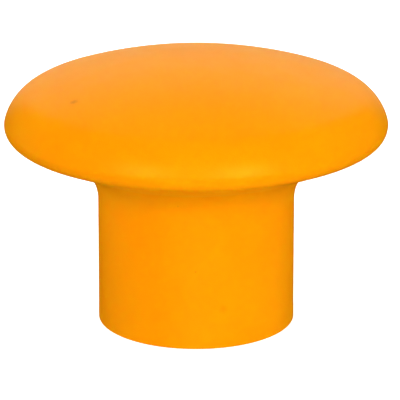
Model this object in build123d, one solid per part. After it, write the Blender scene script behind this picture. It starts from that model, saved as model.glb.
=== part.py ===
"""Mushroom bumper pad for a carpet knee kicker.

A soft moulded mushroom that the fitter strikes with the leg just above the knee. A steel armature
inside carries the blow down to the flat base, which screws onto the end of the kicker's tube.

Millimetres. +Z is up, out of the base towards the crown. The origin is the centre of the flat base.
Almost every piece is turned about Z, so its outline is given as (radius, height) points.
"""

import os
from math import atan2, cos, degrees, radians, sin, sqrt

from build123d import *

# ---- The moulded mushroom ----------------------------------------------------------------------
CAP_DIAMETER = 130.0
STEM_DIAMETER = 67.0
RIM_HEIGHT = 69.5  # the widest plane of the cap, above the base
CROWN_RISE = 21.7  # the crown, above that plane
SHOULDER_RADIUS = 15.5  # turns the dome down towards the rim
SHOULDER_END = 15.0  # degrees above the widest plane where the tighter edge takes over
EDGE_RADIUS = 4.5  # turns round the widest plane and in under the cap
UNDERSIDE_SLOPE = 23.0  # degrees that the underside falls towards the stem
NECK_RADIUS = 15.5  # sweeps the underside into the stem
BASE_EDGE_RADIUS = 0.4
SKIN = 2.0  # dense outer skin, over softer foam

# ---- The armature: flange, tube, plug and plate ------------------------------------------------
FLANGE_RADIUS = 27.0  # the steel that shows in the base
FLANGE_LIP = 2.0  # its hidden upper half is wider by this, so that the skin holds it in
FLANGE_THICKNESS = 4.0
RING_HEIGHT = 2.0  # the flange's raised ring, which centres the tube
TUBE_OUTER_RADIUS = 16.0
TUBE_INNER_RADIUS = 13.5
TUBE_TOP = 62.0
PLUG_FLANGE = 2.0  # between the tube and the plate
PLUG_DEPTH = 6.0  # how far the plug reaches into the tube
PLATE_RADIUS = 46.0
PLATE_THICKNESS = 3.0
KEY_HOLE_COUNT = 8  # holes in the plate that the foam grows through
KEY_HOLE_RADIUS = 4.0
KEY_HOLE_CIRCLE = 36.0
GUARD_WALL = 1.2  # rubber trim on the plate's rim
GUARD_GRIP = 3.0
CUSHION_RADIUS = 28.0  # soft disc over the bolt's head
CUSHION_THICKNESS = 10.0

# ---- The armature: M8 carriage bolt and M10 bush -----------------------------------------------
BOLT_SHANK_RADIUS = 4.0
BOLT_ROOT_RADIUS = 3.3  # its threaded end is drawn at the thread's root
BOLT_HEAD_RADIUS = 10.3
BOLT_HEAD_HEIGHT = 4.9
BOLT_NECK = 8.0  # across the square under the head
BOLT_NECK_DEPTH = 4.0
BOLT_THREAD_TOP = 41.0
BOLT_TIP = 27.0
BOLT_HOLE_RADIUS = 3.4  # tapping size of M8
BOLT_HOLE_FLOOR = 24.0
STUD_HOLE_RADIUS = 4.25  # tapping size of M10, for the kicker's own stud
STUD_HOLE_DEPTH = 19.0
DRILL_POINT = 2.5  # the cone that the drill leaves beyond the hole
MOUTH_CHAMFER = 0.8
BUSH_COLLAR_RADIUS = 14.0
BUSH_COLLAR_THICKNESS = 2.5
BUSH_SHANK_RADIUS = 9.0
BUSH_TOP = 40.0
SPANNER_HOLE_RADIUS = 2.0  # two blind holes for a pin spanner, in the bush's collar
SPANNER_HOLE_OFFSET = 11.2
SPANNER_HOLE_DEPTH = 1.8

# ---- Clearances and small edges ----------------------------------------------------------------
FIT = 0.1  # radial gap between turned pieces of the armature
BOLT_GAP = 0.3  # round the bolt, in the plug
HEAD_GAP = 0.5  # between the bolt's head and the cushion
SMALL_CHAMFER = 0.5
CHAMFER = 1.0
CUSHION_CHAMFER = 2.0

CAP_RADIUS = CAP_DIAMETER / 2
STEM_RADIUS = STEM_DIAMETER / 2
CROWN = RIM_HEIGHT + CROWN_RISE
PLATE_BOTTOM = TUBE_TOP + PLUG_FLANGE
PLATE_TOP = PLATE_BOTTOM + PLATE_THICKNESS
NECK_BOTTOM = PLATE_TOP - BOLT_NECK_DEPTH


# ---- Shapes that several pieces use ------------------------------------------------------------
def turned(points):
    """A solid turned about Z from a closed outline of (radius, height) points."""
    with BuildPart() as part:
        with BuildSketch(Plane.XZ):
            with BuildLine():
                Polyline(*points, close=True)
            make_face()
        revolve(axis=Axis.Z)
    return part.part


def disc(radius, low, high, bore=0.0):
    """A round disc between two heights, with an optional round hole."""
    return turned([(bore, low), (radius, low), (radius, high), (bore, high)])


def arc(centre, radius, start, end):
    """An arc about centre, from one direction to another in degrees, the short way."""
    return CenterArc(centre, radius, start, end - start)


def mushroom(inset):
    """The mushroom, with its whole surface moved inwards by inset."""
    # Two arcs that touch meet on the line through their centres: edge and shoulder, then dome.
    edge_centre = (CAP_RADIUS - EDGE_RADIUS, RIM_HEIGHT)
    apart = SHOULDER_RADIUS - EDGE_RADIUS
    turn = radians(SHOULDER_END)
    shoulder_r = edge_centre[0] - apart * cos(turn)
    shoulder_z = RIM_HEIGHT - apart * sin(turn)
    rise = CROWN - shoulder_z
    dome_radius = (shoulder_r**2 + rise**2 - SHOULDER_RADIUS**2) / (2 * (rise - SHOULDER_RADIUS))
    dome_z = CROWN - dome_radius
    shoulder_start = degrees(atan2(shoulder_z - dome_z, shoulder_r))

    # The underside is a cone that leaves the edge's arc, and the neck's arc touches it and the stem.
    slope = radians(UNDERSIDE_SLOPE)
    edge_end = UNDERSIDE_SLOPE - 90
    edge_foot = (edge_centre[0] + EDGE_RADIUS * sin(slope), RIM_HEIGHT - EDGE_RADIUS * cos(slope))
    neck_r = STEM_RADIUS + NECK_RADIUS
    cone_z = edge_foot[1] - (edge_foot[0] - neck_r) * sin(slope) / cos(slope)
    neck_centre = (neck_r, cone_z - NECK_RADIUS / cos(slope))

    stem_r = STEM_RADIUS - inset
    corner = (stem_r - BASE_EDGE_RADIUS, inset + BASE_EDGE_RADIUS)
    with BuildPart() as part:
        with BuildSketch(Plane.XZ):
            with BuildLine():
                dome = arc((0, dome_z), dome_radius - inset, 90, shoulder_start)
                shoulder_radius = SHOULDER_RADIUS - inset
                arc((shoulder_r, shoulder_z), shoulder_radius, shoulder_start, SHOULDER_END)
                edge = arc(edge_centre, EDGE_RADIUS - inset, SHOULDER_END, edge_end)
                neck = arc(neck_centre, NECK_RADIUS + inset, 90 + UNDERSIDE_SLOPE, 180)
                base_edge = arc(corner, BASE_EDGE_RADIUS, 0, -90)
                Line(edge @ 1, neck @ 0)
                Line(neck @ 1, base_edge @ 0)
                Polyline(base_edge @ 1, (0, inset), dome @ 0)
            make_face()
        revolve(axis=Axis.Z)
    return part.part


def key_holes():
    """The round holes through the plate, as solids."""
    with BuildPart() as part:
        with BuildSketch(Plane.XY.offset(PLATE_BOTTOM)):
            with PolarLocations(KEY_HOLE_CIRCLE, KEY_HOLE_COUNT):
                Circle(KEY_HOLE_RADIUS)
        extrude(amount=PLATE_THICKNESS)
    return part.part


def cushion_block():
    """The cushion over the bolt's head, before it is hollowed."""
    top = PLATE_TOP + CUSHION_THICKNESS
    return turned(
        [
            (0, PLATE_TOP),
            (CUSHION_RADIUS, PLATE_TOP),
            (CUSHION_RADIUS, top - CUSHION_CHAMFER),
            (CUSHION_RADIUS - CUSHION_CHAMFER, top),
            (0, top),
        ]
    )


# ---- The armature ------------------------------------------------------------------------------
def base_flange():
    """The steel seat in the base: a stepped rim that the skin grips, and a ring in the tube."""
    lip = FLANGE_RADIUS + FLANGE_LIP
    step = FLANGE_THICKNESS / 2
    ring = TUBE_INNER_RADIUS - FIT
    ring_top = FLANGE_THICKNESS + RING_HEIGHT
    collar = BUSH_COLLAR_RADIUS + FIT
    bore = BUSH_SHANK_RADIUS + FIT
    return turned(
        [
            (collar, 0),
            (FLANGE_RADIUS, 0),
            (FLANGE_RADIUS, step),
            (lip, step),
            (lip, FLANGE_THICKNESS),
            (ring, FLANGE_THICKNESS),
            (ring, ring_top),
            (bore, ring_top),
            (bore, BUSH_COLLAR_THICKNESS),
            (collar, BUSH_COLLAR_THICKNESS),
        ]
    )


def threaded_bush():
    """The collared bush: a tapped hole from below for the kicker, and one from above for the bolt."""
    body = turned(
        [
            (0, 0),
            (BUSH_COLLAR_RADIUS - SMALL_CHAMFER, 0),
            (BUSH_COLLAR_RADIUS, SMALL_CHAMFER),
            (BUSH_COLLAR_RADIUS, BUSH_COLLAR_THICKNESS),
            (BUSH_SHANK_RADIUS, BUSH_COLLAR_THICKNESS),
            (BUSH_SHANK_RADIUS, BUSH_TOP - CHAMFER),
            (BUSH_SHANK_RADIUS - CHAMFER, BUSH_TOP),
            (0, BUSH_TOP),
        ]
    )
    stud_hole = turned(
        [
            (0, 0),
            (STUD_HOLE_RADIUS + MOUTH_CHAMFER, 0),
            (STUD_HOLE_RADIUS, MOUTH_CHAMFER),
            (STUD_HOLE_RADIUS, STUD_HOLE_DEPTH),
            (0, STUD_HOLE_DEPTH + DRILL_POINT),
        ]
    )
    bolt_hole = disc(BOLT_HOLE_RADIUS, BOLT_HOLE_FLOOR, BUSH_TOP)
    with BuildPart() as spanner_holes:
        with BuildSketch(Plane.XY):
            with PolarLocations(SPANNER_HOLE_OFFSET, 2):
                Circle(SPANNER_HOLE_RADIUS)
        extrude(amount=SPANNER_HOLE_DEPTH)
    return body - stud_hole - bolt_hole - spanner_holes.part


def spacer_tube():
    """The steel tube that carries the blow from the plate to the base."""
    return disc(TUBE_OUTER_RADIUS, FLANGE_THICKNESS, TUBE_TOP, TUBE_INNER_RADIUS)


def tube_end_plug():
    """The top-hat plug in the tube's upper end, which the plate sits on."""
    spigot = TUBE_INNER_RADIUS - FIT
    bottom = TUBE_TOP - PLUG_DEPTH
    bore = BOLT_SHANK_RADIUS + BOLT_GAP
    neck_recess = BOLT_NECK / sqrt(2) + BOLT_GAP
    recess_floor = NECK_BOTTOM - BOLT_GAP
    return turned(
        [
            (bore, bottom),
            (spigot - CHAMFER, bottom),
            (spigot, bottom + CHAMFER),
            (spigot, TUBE_TOP),
            (TUBE_OUTER_RADIUS, TUBE_TOP),
            (TUBE_OUTER_RADIUS, PLATE_BOTTOM),
            (neck_recess, PLATE_BOTTOM),
            (neck_recess, recess_floor),
            (bore, recess_floor),
        ]
    )


def pressure_plate():
    """The steel disc that spreads the blow, with a square hole that stops the bolt from turning."""
    side = BOLT_NECK + 2 * FIT
    centre = (PLATE_BOTTOM + PLATE_TOP) / 2
    square_hole = Pos(0, 0, centre) * Box(side, side, PLATE_THICKNESS)
    return disc(PLATE_RADIUS, PLATE_BOTTOM, PLATE_TOP) - key_holes() - square_hole


def plate_edge_guard():
    """The rubber trim that keeps the plate's rim from cutting the foam: a ring of U section."""
    inner = PLATE_RADIUS - GUARD_GRIP
    outer = PLATE_RADIUS + GUARD_WALL
    low = PLATE_BOTTOM - GUARD_WALL
    high = PLATE_TOP + GUARD_WALL
    return turned(
        [
            (inner, low),
            (outer - SMALL_CHAMFER, low),
            (outer, low + SMALL_CHAMFER),
            (outer, high - SMALL_CHAMFER),
            (outer - SMALL_CHAMFER, high),
            (inner, high),
            (inner, PLATE_TOP),
            (PLATE_RADIUS, PLATE_TOP),
            (PLATE_RADIUS, PLATE_BOTTOM),
            (inner, PLATE_BOTTOM),
        ]
    )


def carriage_bolt():
    """The M8 bolt that clamps plate, plug, tube and flange together against the bush's collar."""
    dome_radius = (BOLT_HEAD_RADIUS**2 + BOLT_HEAD_HEIGHT**2) / (2 * BOLT_HEAD_HEIGHT)
    head_top = PLATE_TOP + BOLT_HEAD_HEIGHT
    dome = Pos(0, 0, head_top - dome_radius) * Sphere(dome_radius)
    head = dome & disc(BOLT_HEAD_RADIUS, PLATE_TOP, head_top)
    neck = Pos(0, 0, (NECK_BOTTOM + PLATE_TOP) / 2) * Box(BOLT_NECK, BOLT_NECK, BOLT_NECK_DEPTH)
    rod = turned(
        [
            (0, BOLT_TIP),
            (BOLT_ROOT_RADIUS - SMALL_CHAMFER, BOLT_TIP),
            (BOLT_ROOT_RADIUS, BOLT_TIP + SMALL_CHAMFER),
            (BOLT_ROOT_RADIUS, BOLT_THREAD_TOP),
            (BOLT_SHANK_RADIUS, BOLT_THREAD_TOP),
            (BOLT_SHANK_RADIUS, NECK_BOTTOM),
            (0, NECK_BOTTOM),
        ]
    )
    return head + neck + rod


def bolt_head_cushion():
    """The soft disc on the plate, hollowed underneath to sit over the bolt's head."""
    hollow_top = PLATE_TOP + BOLT_HEAD_HEIGHT + HEAD_GAP
    return cushion_block() - disc(BOLT_HEAD_RADIUS + HEAD_GAP, PLATE_TOP, hollow_top)


# ---- The moulding ------------------------------------------------------------------------------
def foam_core():
    """The soft foam that fills the skin, surrounds the armature and fills the plate's holes."""
    flange_space = disc(FLANGE_RADIUS + FLANGE_LIP, 0, FLANGE_THICKNESS)
    tube_space = disc(TUBE_OUTER_RADIUS, 0, PLATE_BOTTOM)
    plate_space = disc(PLATE_RADIUS, PLATE_BOTTOM, PLATE_TOP) - key_holes()
    armature = flange_space + tube_space + plate_space + plate_edge_guard() + cushion_block()
    return mushroom(SKIN) - armature


def outer_skin():
    """The dense skin: one closed shell, open only where the steel flange shows in the base."""
    return mushroom(0) - mushroom(SKIN) - disc(FLANGE_RADIUS, 0, SKIN)


NODES = {
    "outer_skin": outer_skin,
    "foam_core": foam_core,
    "bolt_head_cushion": bolt_head_cushion,
    "pressure_plate": pressure_plate,
    "plate_edge_guard": plate_edge_guard,
    "carriage_bolt": carriage_bolt,
    "tube_end_plug": tube_end_plug,
    "spacer_tube": spacer_tube,
    "base_flange": base_flange,
    "threaded_bush": threaded_bush,
}

os.makedirs("parts", exist_ok=True)
for name, make in NODES.items():
    export_step(make(), f"parts/{name}.step")
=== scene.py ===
from math import atan2, ceil, cos, pi, radians, sin, tan

import bmesh
import bpy
from mathutils import Matrix, Vector, noise


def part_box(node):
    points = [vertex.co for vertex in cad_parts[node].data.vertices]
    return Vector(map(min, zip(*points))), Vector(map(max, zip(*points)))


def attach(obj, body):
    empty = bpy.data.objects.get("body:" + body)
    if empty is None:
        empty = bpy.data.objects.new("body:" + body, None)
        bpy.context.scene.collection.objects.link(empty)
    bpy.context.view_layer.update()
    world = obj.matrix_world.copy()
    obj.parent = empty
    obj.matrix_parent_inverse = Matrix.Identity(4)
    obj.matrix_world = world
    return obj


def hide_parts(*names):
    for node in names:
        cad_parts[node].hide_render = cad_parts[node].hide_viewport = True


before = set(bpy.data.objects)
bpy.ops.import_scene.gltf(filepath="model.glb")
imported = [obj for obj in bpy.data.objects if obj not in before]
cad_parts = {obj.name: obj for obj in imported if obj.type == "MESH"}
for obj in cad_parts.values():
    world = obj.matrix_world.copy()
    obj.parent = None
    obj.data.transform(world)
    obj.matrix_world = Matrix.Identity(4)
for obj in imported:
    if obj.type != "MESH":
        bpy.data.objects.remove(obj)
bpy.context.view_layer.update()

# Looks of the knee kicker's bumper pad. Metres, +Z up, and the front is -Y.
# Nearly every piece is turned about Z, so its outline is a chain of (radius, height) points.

MM = 0.001
TINY = 1e-6  # points nearer than this are one point
SHARP = 35  # degrees between two faces that make their edge a sharp one


# ---- Sizes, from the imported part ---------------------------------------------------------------
def reach(node):
    """A turned node's radius, its lowest point and its highest point."""
    low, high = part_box(node)
    return high[0], low[2], high[2]


CAP_RADIUS, BASE, CROWN = reach("outer_skin")
CROWN_RISE = 21.7 * MM
RIM = CROWN - CROWN_RISE
SHOULDER_RADIUS = 15.5 * MM
SHOULDER_END = radians(15)
EDGE_RADIUS = 4.5 * MM
UNDERSIDE_SLOPE = radians(23)
NECK_RADIUS = 15.5 * MM
STEM_RADIUS = 33.5 * MM
BASE_EDGE_RADIUS = 0.4 * MM
SKIN = 2 * MM

FLANGE_LIP_RADIUS, _, _ = reach("base_flange")
FLANGE_RADIUS = FLANGE_LIP_RADIUS - 2 * MM
TUBE_RADIUS, FLANGE_TOP, _ = reach("spacer_tube")
PLATE_RADIUS, PLATE_BOTTOM, PLATE_TOP = reach("pressure_plate")
GUARD_RADIUS, GUARD_BOTTOM, GUARD_TOP = reach("plate_edge_guard")
GUARD_GRIP = 3 * MM
KEY_HOLE_COUNT = 8
KEY_HOLE_RADIUS = 4 * MM
KEY_HOLE_CIRCLE = 36 * MM
CUSHION_RADIUS, _, CUSHION_TOP = reach("bolt_head_cushion")
BOLT_HEAD_RADIUS, BOLT_TIP, BOLT_TOP = reach("carriage_bolt")
BUSH_COLLAR_RADIUS, _, BUSH_TOP = reach("threaded_bush")


# ---- Outlines ----------------------------------------------------------------------------------
def arc(centre, radius, start, end, count):
    """Points along an arc, both ends included. The angles are in radians."""
    turns = [start + (end - start) * k / count for k in range(count + 1)]
    return [(centre[0] + radius * cos(a), centre[1] + radius * sin(a)) for a in turns]


def straight(start, end, count):
    """Points along a straight stretch, without its two ends."""
    return [
        (start[0] + (end[0] - start[0]) * k / count, start[1] + (end[1] - start[1]) * k / count)
        for k in range(1, count)
    ]


def joined(*stretches):
    """One chain from several, without the points that two stretches share."""
    chain = []
    for stretch in stretches:
        for point in stretch:
            if not chain or (Vector(point) - Vector(chain[-1])).length > TINY:
                chain.append(point)
    return chain


def mushroom(inset, fine):
    """The moulded outline from crown to base, moved inwards by inset. fine sets how many points it has."""
    edge_centre = (CAP_RADIUS - EDGE_RADIUS, RIM)
    apart = SHOULDER_RADIUS - EDGE_RADIUS
    shoulder_r = edge_centre[0] - apart * cos(SHOULDER_END)
    shoulder_z = RIM - apart * sin(SHOULDER_END)
    rise = CROWN - shoulder_z
    dome_radius = (shoulder_r**2 + rise**2 - SHOULDER_RADIUS**2) / (2 * (rise - SHOULDER_RADIUS))
    dome_z = CROWN - dome_radius
    shoulder_start = atan2(shoulder_z - dome_z, shoulder_r)
    slope = UNDERSIDE_SLOPE
    edge_foot = (edge_centre[0] + EDGE_RADIUS * sin(slope), RIM - EDGE_RADIUS * cos(slope))
    neck_r = STEM_RADIUS + NECK_RADIUS
    cone_z = edge_foot[1] - (edge_foot[0] - neck_r) * tan(slope)
    neck_centre = (neck_r, cone_z - NECK_RADIUS / cos(slope))

    dome = arc((0, dome_z), dome_radius - inset, pi / 2, shoulder_start, ceil(56 * fine))
    shoulder_radius = SHOULDER_RADIUS - inset
    points = ceil(32 * fine)
    shoulder = arc((shoulder_r, shoulder_z), shoulder_radius, shoulder_start, SHOULDER_END, points)
    turn_in = arc(edge_centre, EDGE_RADIUS - inset, SHOULDER_END, 0, ceil(6 * fine))
    edge = arc(edge_centre, EDGE_RADIUS - inset, 0, slope - pi / 2, ceil(18 * fine))
    neck = arc(neck_centre, NECK_RADIUS + inset, pi / 2 + slope, pi, ceil(36 * fine))
    stem_r = STEM_RADIUS - inset
    cone = straight(edge[-1], neck[0], ceil(20 * fine))
    stem = straight(neck[-1], (stem_r, BASE + inset), ceil(34 * fine))
    return joined(dome, shoulder, turn_in, edge, cone, neck, stem)


def cushion_outline():
    """The cushion's outside, from its foot up to its middle: a soft rounded edge and a slight crown."""
    edge = 2.4 * MM
    crown = 0.35 * MM
    top = CUSHION_TOP - crown
    corner = (CUSHION_RADIUS - edge, top - edge)
    rounded = arc(corner, edge, 0, pi / 2, 8)
    across = [(rounded[-1][0] * (1 - k / 10), top + crown * sin(pi / 2 * k / 10)) for k in range(11)]
    wall = straight((CUSHION_RADIUS, PLATE_TOP), rounded[0], 6)
    return joined([(CUSHION_RADIUS, PLATE_TOP)], wall, rounded, across)


# ---- Mesh making -------------------------------------------------------------------------------
def mesh_piece(name, mesh, sharp=SHARP):
    """A smooth object from a bmesh, with sharp edges where it turns by more than sharp degrees."""
    bmesh.ops.recalc_face_normals(mesh, faces=mesh.faces)
    data = bpy.data.meshes.new(name)
    mesh.to_mesh(data)
    mesh.free()
    data.polygons.foreach_set("use_smooth", [True] * len(data.polygons))
    data.set_sharp_from_angle(angle=radians(sharp))
    piece = bpy.data.objects.new(name, data)
    bpy.context.scene.collection.objects.link(piece)
    return piece


def lathe(outline, turns, shape=None, closed=True):
    """A bmesh turned about Z from a chain of points. closed joins the last ring to the first.

    shape, if given, takes a point's number, angle, radius and height, and returns its own radius.
    """
    mesh = bmesh.new()
    rings = []
    for number, (r, z) in enumerate(outline):
        if r < TINY:
            rings.append([mesh.verts.new((0, 0, z))])
            continue
        ring = []
        for k in range(turns):
            a = 2 * pi * k / turns
            own = shape(number, a, r, z) if shape else r
            ring.append(mesh.verts.new((own * cos(a), own * sin(a), z)))
        rings.append(ring)
    pairs = list(zip(rings, rings[1:]))
    if closed and len(rings[0]) > 1:
        pairs.append((rings[-1], rings[0]))
    for upper, lower in pairs:
        for k in range(turns):
            n = (k + 1) % turns
            if len(upper) == 1:
                mesh.faces.new((upper[0], lower[n], lower[k]))
            elif len(lower) == 1:
                mesh.faces.new((upper[k], upper[n], lower[0]))
            else:
                mesh.faces.new((upper[k], upper[n], lower[n], lower[k]))
    return mesh


def combined(piece, tools, operation):
    """Joins tools to a piece or cuts them from it, and leaves one plain, clean mesh."""
    for tool in tools:
        change = piece.modifiers.new("combine", "BOOLEAN")
        change.operation = operation
        change.solver = "EXACT"
        change.object = tool
    seen = piece.evaluated_get(bpy.context.evaluated_depsgraph_get())
    data = bpy.data.meshes.new_from_object(seen)
    piece.modifiers.clear()
    piece.data = data
    for tool in tools:
        bpy.data.objects.remove(tool)
    mesh = bmesh.new()
    mesh.from_mesh(data)
    bmesh.ops.remove_doubles(mesh, verts=mesh.verts, dist=TINY)
    bmesh.ops.dissolve_degenerate(mesh, edges=mesh.edges, dist=TINY)
    mesh.to_mesh(data)
    mesh.free()
    data.set_sharp_from_angle(angle=radians(SHARP))
    return piece


def rod(name, radius, low, high, place):
    """A plain round bar beside the axis, for cutting or joining. No corner of it lines up with the axis."""
    turns = 48
    mesh = lathe([(0, high), (radius, high), (radius, low), (0, low)], turns)
    half_step = Matrix.Rotation(pi / turns, 3, "Z")
    bmesh.ops.rotate(mesh, verts=mesh.verts, cent=(0, 0, 0), matrix=half_step)
    bmesh.ops.translate(mesh, verts=mesh.verts, vec=(place[0], place[1], 0))
    return mesh_piece(name, mesh)


def round_places(circle, count):
    """Places evenly spaced on a circle about Z."""
    turns = [2 * pi * k / count for k in range(count)]
    return [(circle * cos(a), circle * sin(a)) for a in turns]


# ---- The moulding ------------------------------------------------------------------------------
SKIN_TURNS = 320
PARTING_LINE = 0.05 * MM  # the mould's two halves meet at the widest plane
UNEVENNESS = 0.12 * MM  # how far the soft surface strays from its true shape
SLOW_WAVES, QUICK_WAVES = 22, 75  # waves per metre in the unevenness
QUICK_START = Vector((7, 3, 1))


def uneven(piece, first, last, turns):
    """Moves a turned piece's vertices slightly inwards, in a slow pattern, between two rings.

    Ring 0 is the single point on the axis, and each other ring has as many points as turns.
    """
    vertices = piece.data.vertices
    normals = [v.normal.copy() for v in vertices]
    for number, v in enumerate(vertices):
        ring = (number + turns - 1) // turns
        if not first < ring < last:
            continue
        slow = noise.noise(v.co * SLOW_WAVES)
        quick = noise.noise(v.co * QUICK_WAVES + QUICK_START)
        v.co -= normals[number] * UNEVENNESS * (0.5 + 0.4 * slow + 0.1 * quick)


def make_skin():
    """The dense skin: the outside, the base ring round the flange, and the hidden inside."""
    outside = mushroom(0, 1.0)[:-1]
    corner = (STEM_RADIUS - BASE_EDGE_RADIUS, BASE + BASE_EDGE_RADIUS)
    base_edge = arc(corner, BASE_EDGE_RADIUS, 0, -pi / 2, 5)
    trimmed = [(FLANGE_RADIUS + 0.3 * MM, BASE), (FLANGE_RADIUS, BASE + 0.15 * MM)]
    base = straight(base_edge[-1], trimmed[0], 6)
    inside = mushroom(SKIN, 0.35)
    inside = [p for p in inside if p[1] > BASE + SKIN + TINY] + [(STEM_RADIUS - SKIN, BASE + SKIN)]
    outline = joined(outside, base_edge, base, trimmed, [(FLANGE_RADIUS, BASE + SKIN)], inside[::-1])

    widest = max(range(len(outside)), key=lambda k: outside[k][0])

    def flash(number, angle, radius, height):
        return radius + PARTING_LINE * (0.6 + 0.4 * sin(3 * angle + 1)) if number == widest else radius

    piece = mesh_piece("moulded_skin", lathe(outline, SKIN_TURNS, flash))
    uneven(piece, 0, len(outside) - 2, SKIN_TURNS)
    return piece


def make_foam():
    """The soft core: its outside under the skin, its hollow round the armature, and its key plugs."""
    outside = mushroom(SKIN, 0.5)
    guard_inner = PLATE_RADIUS - GUARD_GRIP
    armature = [
        (FLANGE_LIP_RADIUS, BASE + SKIN),
        (FLANGE_LIP_RADIUS, FLANGE_TOP),
        (TUBE_RADIUS, FLANGE_TOP),
        (TUBE_RADIUS, PLATE_BOTTOM),
        (guard_inner, PLATE_BOTTOM),
        (guard_inner, GUARD_BOTTOM),
        (GUARD_RADIUS, GUARD_BOTTOM),
        (GUARD_RADIUS, GUARD_TOP),
        (guard_inner, GUARD_TOP),
        (guard_inner, PLATE_TOP),
    ]
    inside = [armature[0]]
    for start, end in zip(armature, armature[1:]):
        far = (Vector(end) - Vector(start)).length
        inside += straight(start, end, max(1, ceil(far / (2.5 * MM)))) + [end]
    piece = mesh_piece("foam_filling", lathe(joined(outside, inside, cushion_outline()), 160))
    overlap = 0.5 * MM
    low, high = PLATE_BOTTOM - overlap, PLATE_TOP + overlap
    places = round_places(KEY_HOLE_CIRCLE, KEY_HOLE_COUNT)
    plugs = [rod(f"plug_{k}", KEY_HOLE_RADIUS, low, high, p) for k, p in enumerate(places)]
    return combined(piece, plugs, "UNION")


def make_cushion():
    """The soft disc over the bolt's head."""
    gap = 0.5 * MM
    hollow = BOLT_HEAD_RADIUS + gap
    roof = BOLT_TOP + gap
    under = [(0, roof), (hollow / 2, roof), (hollow - gap, roof), (hollow, roof - gap)]
    foot = straight((hollow, PLATE_TOP), (CUSHION_RADIUS, PLATE_TOP), 8)
    outline = joined(under, [(hollow, PLATE_TOP)], foot, cushion_outline())
    return mesh_piece("bolt_cushion", lathe(outline, 128))


# ---- Threaded pieces ---------------------------------------------------------------------------
THREAD_TURNS = 96
M10_PITCH = 1.5 * MM
M8_PITCH = 1.25 * MM
INSIDE_CREST, OUTSIDE_CREST = 0.75, 0.70  # where each flank starts, as a share of half a pitch
THREAD_ROOT = 0.125


def thread(height, angle, pitch, crest):
    """How deep a right-hand thread is at a place: 0 on its land, 1 at the middle of its groove."""
    along = (height / pitch - angle / (2 * pi)) % 1
    from_middle = abs(2 * along - 1)
    return min(1, max(0, (crest - from_middle) / (crest - THREAD_ROOT)))


def fading(height, low, high, run):
    """1 between two heights, and down to 0 over a short run at each end."""
    return max(0, min(1, (height - low) / run, (high - height) / run))


def wall(radius, start, end, pitch):
    """Closely spaced points up or down a threaded wall, ends included."""
    count = ceil(abs(end - start) / pitch * 10)
    return [(radius, start)] + straight((radius, start), (radius, end), count) + [(radius, end)]


def make_bush():
    """The collared bush, with an M10 thread below, an M8 thread above and two holes for a spanner."""
    stud_r, stud_top = 4.25 * MM, 19 * MM
    bolt_r, bolt_floor = 3.4 * MM, 24 * MM
    mouth = 0.8 * MM
    small, chamfer = 0.5 * MM, 1 * MM
    shank = 9 * MM
    collar_top = 2.5 * MM
    drill_point = 2.5 * MM
    below = [(0, stud_top + drill_point)] + wall(stud_r, stud_top, BASE + mouth, M10_PITCH)
    body = [
        (stud_r + mouth, BASE),
        (8 * MM, BASE),
        (BUSH_COLLAR_RADIUS - small, BASE),
        (BUSH_COLLAR_RADIUS, BASE + small),
        (BUSH_COLLAR_RADIUS, collar_top),
        (shank, collar_top),
        (shank, BUSH_TOP - chamfer),
        (shank - chamfer, BUSH_TOP),
        (bolt_r + small, BUSH_TOP),
    ]
    above = wall(bolt_r, BUSH_TOP - small, bolt_floor, M8_PITCH) + [(0, bolt_floor)]
    outline = below + body + above
    m10 = range(1, len(below))
    m8 = range(len(below) + len(body), len(outline) - 1)

    def grooves(number, angle, radius, height):
        if number in m10:
            deep = 0.75 * MM * fading(height, BASE, stud_top - M10_PITCH, M10_PITCH / 2)
            return radius + deep * thread(height, angle, M10_PITCH, INSIDE_CREST)
        if number in m8:
            deep = 0.62 * MM * fading(height, bolt_floor + M8_PITCH, BUSH_TOP, M8_PITCH / 2)
            return radius + deep * thread(height, angle, M8_PITCH, INSIDE_CREST)
        return radius

    piece = mesh_piece("tapped_bush", lathe(outline, THREAD_TURNS, grooves), sharp=30)
    deep = 1.8 * MM
    places = round_places(11.2 * MM, 2)
    cutters = [rod(f"pin_{k}", 2 * MM, BASE - MM, BASE + deep, p) for k, p in enumerate(places)]
    return combined(piece, cutters, "DIFFERENCE")


def make_bolt():
    """The carriage bolt: a domed head, a square neck, a plain shank and an M8 thread."""
    rise = BOLT_TOP - PLATE_TOP
    dome_radius = (BOLT_HEAD_RADIUS**2 + rise**2) / (2 * rise)
    dome_centre = (0, BOLT_TOP - dome_radius)
    rim_angle = atan2(PLATE_TOP - dome_centre[1], BOLT_HEAD_RADIUS)
    neck_half = 4 * MM
    neck_bottom = PLATE_TOP - 4 * MM
    shank, root, crest = 4 * MM, 3.3 * MM, 3.95 * MM
    thread_top = 41 * MM
    tip = 0.5 * MM
    head = arc(dome_centre, dome_radius, pi / 2, rim_angle, 24)
    neck = [(neck_half, PLATE_TOP), (neck_half, neck_bottom)]
    plain = [(shank, neck_bottom - MM / 4), (shank, thread_top), (root, thread_top - (shank - root))]
    threaded = wall(root, plain[-1][1], BOLT_TIP + tip, M8_PITCH)[1:]
    outline = head + neck + plain + threaded + [(root - tip, BOLT_TIP), (0, BOLT_TIP)]
    square = range(len(head), len(head) + len(neck))
    cut = range(len(head) + len(neck) + len(plain), len(outline) - 2)

    def shape(number, angle, radius, height):
        if number in square:
            return radius / max(abs(cos(angle)), abs(sin(angle)))
        if number in cut:
            deep = (crest - root) * fading(height, BOLT_TIP, plain[-1][1], M8_PITCH / 2)
            return radius + deep * thread(height, angle, M8_PITCH, OUTSIDE_CREST)
        return radius

    return mesh_piece("coach_bolt", lathe(outline, THREAD_TURNS, shape), sharp=30)


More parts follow.
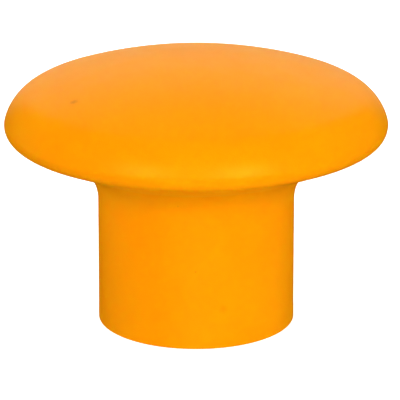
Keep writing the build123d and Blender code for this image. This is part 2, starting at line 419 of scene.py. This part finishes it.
# ---- Materials ---------------------------------------------------------------------------------
class Finish:
    """A Principled material and the nodes that feed it. Patterns use the part's own coordinates."""

    def __init__(self, name, colour, roughness, **sockets):
        self.material = bpy.data.materials.new(name)
        self.material.use_nodes = True
        self.tree = self.material.node_tree
        self.shader = self.tree.nodes["Principled BSDF"]
        self.shader.inputs["Base Color"].default_value = (*colour, 1)
        self.shader.inputs["Roughness"].default_value = roughness
        for socket, value in sockets.items():
            self.shader.inputs[socket.replace("_", " ")].default_value = value
        self.place = self.tree.nodes.new("ShaderNodeTexCoord").outputs["Object"]

    def add(self, kind, inputs=(), **settings):
        """A node. inputs are pairs of a socket and either a value or an output that feeds it."""
        node = self.tree.nodes.new(kind)
        for setting, value in settings.items():
            setattr(node, setting, value)
        for socket, value in inputs:
            if isinstance(value, bpy.types.NodeSocket):
                self.tree.links.new(value, node.inputs[socket])
            else:
                node.inputs[socket].default_value = value
        return node

    def noise(self, size, detail=2.0, rough=0.5, place=None):
        """Noise from about 0 to 1, with features of a given size in metres."""
        inputs = [("Vector", place or self.place), ("Scale", 1 / size)]
        inputs += [("Detail", detail), ("Roughness", rough)]
        return self.add("ShaderNodeTexNoise", inputs).outputs["Fac"]

    def stretched(self, along):
        """The part's coordinates, scaled on each axis, for grain that runs one way."""
        return self.add("ShaderNodeMapping", [("Vector", self.place), ("Scale", along)]).outputs[0]

    def range(self, value, low, high, new_low, new_high):
        """A value moved from one range to another, and held inside it."""
        inputs = [("Value", value), ("From Min", low), ("From Max", high)]
        inputs += [("To Min", new_low), ("To Max", new_high)]
        return self.add("ShaderNodeMapRange", inputs).outputs["Result"]

    def math(self, operation, first, second):
        node = self.add("ShaderNodeMath", [(0, first), (1, second)], operation=operation)
        return node.outputs[0]

    def red_of(self, colour):
        """A colour's red part, which for a Voronoi cell is a number of its own."""
        return self.add("ShaderNodeSeparateColor", [(0, colour)]).outputs[0]

    def near(self, point, size, ragged):
        """1 at a point, falling to 0 at about a given distance. ragged is noise for an uneven edge."""
        inputs = [(0, self.place), (1, point)]
        gap = self.add("ShaderNodeVectorMath", inputs, operation="DISTANCE").outputs["Value"]
        gap = self.math("MULTIPLY", gap, self.range(ragged, 0.3, 0.7, 0.7, 1.3))
        return self.range(gap, 0, size, 1, 0)

    def blend(self, factor, first, second, blend_type="MIX"):
        """Two colours, or a colour and an output, mixed by a factor."""
        inputs = [(0, factor)]
        for socket, colour in ((6, first), (7, second)):
            inputs.append((socket, (*colour, 1) if isinstance(colour, tuple) else colour))
        node = self.add("ShaderNodeMix", inputs, data_type="RGBA", blend_type=blend_type)
        return node.outputs[2]

    def colour_from(self, output):
        self.tree.links.new(output, self.shader.inputs["Base Color"])

    def roughness_from(self, output):
        self.tree.links.new(output, self.shader.inputs["Roughness"])

    def bump(self, height, depth, below=None):
        """A bump whose height output, from 0 to 1, stands for a depth in metres."""
        inputs = [("Height", height), ("Distance", depth), ("Strength", 1.0)]
        if below:
            inputs.append(("Normal", below))
        return self.add("ShaderNodeBump", inputs).outputs["Normal"]

    def normal_from(self, output):
        self.tree.links.new(output, self.shader.inputs["Normal"])


def place_on(radius, height, turn):
    """A point beside the axis. turn is in degrees from the front, positive towards +X."""
    a = radians(turn)
    return (radius * sin(a), -radius * cos(a), height)


# The skin: its colours, and how it shines and lets light through.
SKIN_COLOUR = (0.965, 0.305, 0.0003)
SKIN_DEEPER = (0.945, 0.292, 0.0003)
SKIN_PALER = (0.98, 0.318, 0.0005)
# The pinholes' colour is painted shade: the dark that falls inside each pit.
PINHOLE_SHADE = (0.42, 0.1, 0.0)
SMUDGE_COLOUR = (0.5, 0.13, 0.0)
SKIN_IOR = 1.28
SHINE_TINT = (3.0, 1.6, 0.12, 1)
SCATTER_SHARE = 0.7
SCATTER_REACH = (1.0, 0.5, 0.1)
SCATTER_SCALE = 0.9 * MM

DRIFT_SIZE = 38 * MM
PINHOLE_SPACING = 6 * MM
PINHOLE_DEPTH = 0.1 * MM
RIPPLE_SIZE, RIPPLE_DEPTH = 2.8 * MM, 0.03 * MM
GRAIN_SIZE, GRAIN_DEPTH = 0.45 * MM, 0.045 * MM

# Two faint smudges on the skin: where, how big and how dark.
SMUDGES = [
    (place_on(47.1 * MM, 84.0 * MM, -59.0), 1.9 * MM, 0.62),
    (place_on(33.5 * MM, 14.0 * MM, 15.9), 1.6 * MM, 0.24),
]


def skin_finish():
    """Dense moulded polyurethane: satin, slightly translucent, finely grained, with a few pinholes in
    painted shade.
    """
    look = Finish("moulded_polyurethane", SKIN_COLOUR, 0.35, IOR=SKIN_IOR)
    look.shader.inputs["Specular Tint"].default_value = SHINE_TINT
    look.shader.inputs["Subsurface Weight"].default_value = SCATTER_SHARE
    look.shader.inputs["Subsurface Radius"].default_value = SCATTER_REACH
    look.shader.inputs["Subsurface Scale"].default_value = SCATTER_SCALE
    drift = look.noise(DRIFT_SIZE, detail=3)
    colour = look.blend(look.range(drift, 0.3, 0.7, 0, 1), SKIN_DEEPER, SKIN_PALER)

    spacing = [("Vector", look.place), ("Scale", 1 / PINHOLE_SPACING)]
    cells = look.add("ShaderNodeTexVoronoi", spacing)
    chosen = look.range(look.red_of(cells.outputs["Color"]), 0.7, 0.95, 0, 1)
    pit = look.math("MULTIPLY", look.range(cells.outputs["Distance"], 0.02, 0.06, 1, 0), chosen)
    # Painted shade: the colour darkens inside each pinhole's pit.
    colour = look.blend(look.math("MULTIPLY", pit, 0.6), colour, PINHOLE_SHADE)

    for place, size, strength in SMUDGES:
        smudge = look.near(place, size, look.noise(0.8 * MM))
        colour = look.blend(look.math("MULTIPLY", smudge, strength), colour, SMUDGE_COLOUR)
    look.colour_from(colour)

    matte = look.noise(9 * MM, detail=4)
    look.roughness_from(look.range(matte, 0.25, 0.75, 0.32, 0.39))
    dents = look.bump(look.math("SUBTRACT", 1, pit), PINHOLE_DEPTH)
    ripple = look.bump(look.noise(RIPPLE_SIZE, detail=2), RIPPLE_DEPTH, dents)
    look.normal_from(look.bump(look.noise(GRAIN_SIZE, detail=2), GRAIN_DEPTH, ripple))
    return look.material


def foam_finish(name, dark, light, cell):
    """Open-celled foam: small round cells, darker inside with painted shade, on a slow change of tone."""
    look = Finish(name, light, 0.85, Sheen_Weight=0.25, Sheen_Roughness=0.6)
    cells = look.add("ShaderNodeTexVoronoi", [("Vector", look.place), ("Scale", 1 / cell)])
    # Painted shade: the tone darkens towards each cell's hollow middle.
    depth = look.range(cells.outputs["Distance"], 0.15, 0.6, 0, 1)
    tone = look.blend(depth, dark, light)
    slow = look.range(look.noise(14 * MM), 0.3, 0.7, 0.86, 1.04)
    shade = look.add("ShaderNodeCombineColor", [(channel, slow) for channel in range(3)])
    look.colour_from(look.blend(1.0, tone, shade.outputs[0], "MULTIPLY"))
    look.normal_from(look.bump(depth, 0.25 * MM))
    look.roughness_from(look.range(depth, 0, 1, 0.95, 0.8))
    return look.material


def rubber_finish():
    """Black extruded rubber with a bloom and fine lengthways lines."""
    look = Finish("black_rubber", (0.02, 0.02, 0.021), 0.6)
    clean, bloomed = (0.016, 0.016, 0.017), (0.05, 0.05, 0.05)
    bloom = look.noise(6 * MM, detail=4)
    look.colour_from(look.blend(look.range(bloom, 0.4, 0.75, 0, 1), clean, bloomed))
    look.roughness_from(look.range(bloom, 0.3, 0.7, 0.5, 0.72))
    lines = look.noise(0.3 * MM, place=look.stretched((0.2, 0.2, 3)))
    look.normal_from(look.bump(lines, 0.02 * MM))
    return look.material


def steel_finish(name, dark, light, roughness, marks_of, depth, stain_size=5 * MM):
    """Steel. marks_of is a function of the finish that gives its surface marks, from 0 to 1."""
    look = Finish(name, light, roughness, Metallic=1.0)
    stain = look.noise(stain_size, detail=5, rough=0.6)
    marks = marks_of(look)
    tone = look.blend(look.range(stain, 0.35, 0.68, 0, 1), dark, light)
    look.colour_from(tone)
    spread = look.range(stain, 0.3, 0.7, roughness + 0.08, roughness - 0.06)
    look.roughness_from(look.math("ADD", spread, look.range(marks, 0, 1, 0.04, -0.04)))
    look.normal_from(look.bump(marks, depth))
    return look.material


def mixed(look, first, second, share):
    """Two patterns added, the first with the given share."""
    return look.math("ADD", look.math("MULTIPLY", first, share), look.math("MULTIPLY", second, 1 - share))


def turned_marks(look):
    """Fine rings about Z, as a lathe leaves, broken up slightly."""
    feed = 0.22 * MM
    scale = 2 * pi / (20 * feed)
    rings = look.add(
        "ShaderNodeTexWave",
        [("Vector", look.place), ("Scale", scale), ("Distortion", 0.6), ("Detail", 1)],
        wave_type="RINGS",
        rings_direction="Z",
    )
    return mixed(look, rings.outputs["Fac"], look.noise(0.15 * MM, detail=2), 0.7)


def rolled_marks(look):
    """Fine straight grain in the sheet's rolling direction, over a mottled scale."""
    long_grain = look.noise(0.5 * MM, detail=4, place=look.stretched((0.04, 1, 1)))
    return mixed(look, long_grain, look.noise(2.5 * MM, detail=5), 0.5)


def drawn_marks(look):
    """Long fine lines up the tube."""
    return look.noise(0.4 * MM, detail=4, place=look.stretched((1, 1, 0.03)))


def plated_marks(look):
    """The soft orange peel of zinc plating."""
    return look.noise(0.8 * MM, detail=4)


def put(material, *pieces):
    """Gives pieces a material, in every slot that they have."""
    for piece in pieces:
        if not piece.material_slots:
            piece.data.materials.append(material)
        for place in piece.material_slots:
            place.material = material


# ---- Making the pieces -------------------------------------------------------------------------
def settle(piece, node, material):
    """Stands a piece in for a CAD node, on the only body, with its finish."""
    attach(piece, "root")
    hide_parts(node)
    put(material, piece)


skin = make_skin()
foam = make_foam()
cushion = make_cushion()
bush = make_bush()
bolt = make_bolt()

# Each foam's first colour is the painted shade inside its cells.
core_foam = foam_finish("core_foam", (0.62, 0.24, 0.04), (0.93, 0.5, 0.16), 0.55 * MM)
dense_foam = foam_finish("dense_foam", (0.02, 0.02, 0.022), (0.09, 0.09, 0.095), 0.8 * MM)

# Each steel: its stained tone, clean tone, roughness, marks, their depth and the stains' size.
STEELS = {
    "turned_steel": ((0.42, 0.42, 0.42), (0.6, 0.6, 0.59), 0.3, turned_marks, 0.006 * MM),
    "zinc_plate": ((0.58, 0.6, 0.6), (0.74, 0.75, 0.74), 0.34, turned_marks, 0.004 * MM, 8 * MM),
    "bolt_zinc": ((0.55, 0.57, 0.6), (0.72, 0.73, 0.72), 0.3, plated_marks, 0.012 * MM),
    "plate_steel": ((0.12, 0.13, 0.15), (0.3, 0.31, 0.33), 0.5, rolled_marks, 0.03 * MM, 9 * MM),
    "tube_steel": ((0.26, 0.26, 0.27), (0.42, 0.42, 0.42), 0.4, drawn_marks, 0.015 * MM),
}
steel = {name: steel_finish(name, *settings) for name, settings in STEELS.items()}

settle(skin, "outer_skin", skin_finish())
settle(foam, "foam_core", core_foam)
settle(cushion, "bolt_head_cushion", dense_foam)
settle(bush, "threaded_bush", steel["turned_steel"])
settle(bolt, "carriage_bolt", steel["bolt_zinc"])
put(steel["zinc_plate"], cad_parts["base_flange"])
put(steel["turned_steel"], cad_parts["tube_end_plug"])
put(steel["tube_steel"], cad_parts["spacer_tube"])
put(steel["plate_steel"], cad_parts["pressure_plate"])
put(rubber_finish(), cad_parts["plate_edge_guard"])


# ---- Floor, light and camera -------------------------------------------------------------------
FLOOR_RADIUS = 2.0
FLOOR_DROP = 0.05 * MM  # keeps the floor clear of the part's flat base
SWEEP_RADIUS = 1.5
SWEEP_HEIGHT = 4.0
FLOOR_GLOW = 0.7
ROOM_LIGHT = 0.26
TABLE_LIGHT = 0.46
HORIZON_BLEND = 0.1
LAMP_DISTANCE = 1.5
LAMP_AIM = 68.6 * MM
VIEW_ELEVATION = radians(18.6)
VIEW_DISTANCE = 1.170
VIEW_TARGET = Vector((1.31 * MM, 0, 41.66 * MM))  # the part stands slightly off the view's middle
SENSOR = 36.0
LENS = 308.9

# Each lamp: azimuth, elevation, size in metres and watts, then whether it shines.
LAMPS = [
    ("key_right", 27, 20, 0.45, 9.2, True),
    ("key_left", -31, 21, 0.45, 7.2, True),
    ("backdrop", 180, 16, 1.4, 2.5, True),
    ("fill_front", -4, 14, 0.8, 2.4, False),
    ("fill_back", 180, 18, 0.8, 14.0, False),
    ("fill_right", 55, 15, 0.6, 4.2, False),
    ("side_right", 118, 10, 0.7, 4.2, False),
    ("side_left", -118, 10, 0.7, 8.4, False),
    ("ceiling", 0, 89, 1.0, 8.4, False),
    ("table_bounce", 0, -36, 0.8, 5.6, False),
]


def make_floor():
    """A plain pale floor that sweeps up far behind the part, so no horizon shows from any side.

    The light that it would throw back comes from the lamps.
    """
    level = BASE - FLOOR_DROP
    sweep = arc((FLOOR_RADIUS, level + SWEEP_RADIUS), SWEEP_RADIUS, -pi / 2, 0, 24)
    top = (sweep[-1][0], SWEEP_HEIGHT)
    floor = mesh_piece("floor", lathe([(0, level)] + sweep + [top], 96, closed=False))
    look = Finish("pale_floor", (0.9, 0.9, 0.9), 0.8, Specular_IOR_Level=0.0)
    look.shader.inputs["Emission Color"].default_value = (1, 1, 1, 1)
    look.shader.inputs["Emission Strength"].default_value = FLOOR_GLOW
    put(look.material, floor)
    floor.visible_diffuse = False
    floor.visible_glossy = False
    floor.visible_shadow = False


def softbox(name, azimuth, elevation, size, watts, shines):
    """A square softbox that faces the part. Azimuth 0 is the camera's side, and 90 is +X.

    Only a lamp that shines gives highlights. The others are as soft as light from a white room.
    """
    a, e = radians(azimuth), radians(elevation)
    light = bpy.data.lights.new(name, "AREA")
    light.size = size
    light.energy = watts
    lamp = bpy.data.objects.new(name, light)
    towards = Vector((sin(a) * cos(e), -cos(a) * cos(e), sin(e)))
    lamp.location = Vector((0, 0, LAMP_AIM)) + towards * LAMP_DISTANCE
    lamp.rotation_mode = "QUATERNION"
    lamp.rotation_quaternion = towards.to_track_quat("Z", "Y")
    lamp.visible_camera = False
    lamp.visible_glossy = shines
    bpy.context.scene.collection.objects.link(lamp)


def make_surroundings():
    """A dim, even room, brighter below, where a white table top would throw light back."""
    world = bpy.data.worlds.new("studio")
    bpy.context.scene.world = world
    world.use_nodes = True
    nodes, links = world.node_tree.nodes, world.node_tree.links
    way = nodes.new("ShaderNodeTexCoord")
    parts = nodes.new("ShaderNodeSeparateXYZ")
    level = nodes.new("ShaderNodeMapRange")
    level.inputs["From Min"].default_value = -HORIZON_BLEND
    level.inputs["From Max"].default_value = HORIZON_BLEND
    level.inputs["To Min"].default_value = TABLE_LIGHT
    level.inputs["To Max"].default_value = ROOM_LIGHT
    links.new(way.outputs["Generated"], parts.inputs[0])
    links.new(parts.outputs["Z"], level.inputs["Value"])
    links.new(level.outputs["Result"], nodes["Background"].inputs["Strength"])
    nodes["Background"].inputs["Color"].default_value = (1, 1, 1, 1)
    world.cycles_visibility.glossy = False


def make_camera():
    data = bpy.data.cameras.new("camera")
    data.sensor_width = SENSOR
    data.lens = LENS
    camera = bpy.data.objects.new("camera", data)
    back = Vector((0, -cos(VIEW_ELEVATION), sin(VIEW_ELEVATION)))
    camera.location = VIEW_TARGET + back * VIEW_DISTANCE
    camera.rotation_mode = "QUATERNION"
    camera.rotation_quaternion = back.to_track_quat("Z", "Y")
    bpy.context.scene.collection.objects.link(camera)
    bpy.context.scene.camera = camera


make_floor()
make_surroundings()
for lamp in LAMPS:
    softbox(*lamp)
make_camera()
bpy.context.scene.view_settings.view_transform = "Standard"
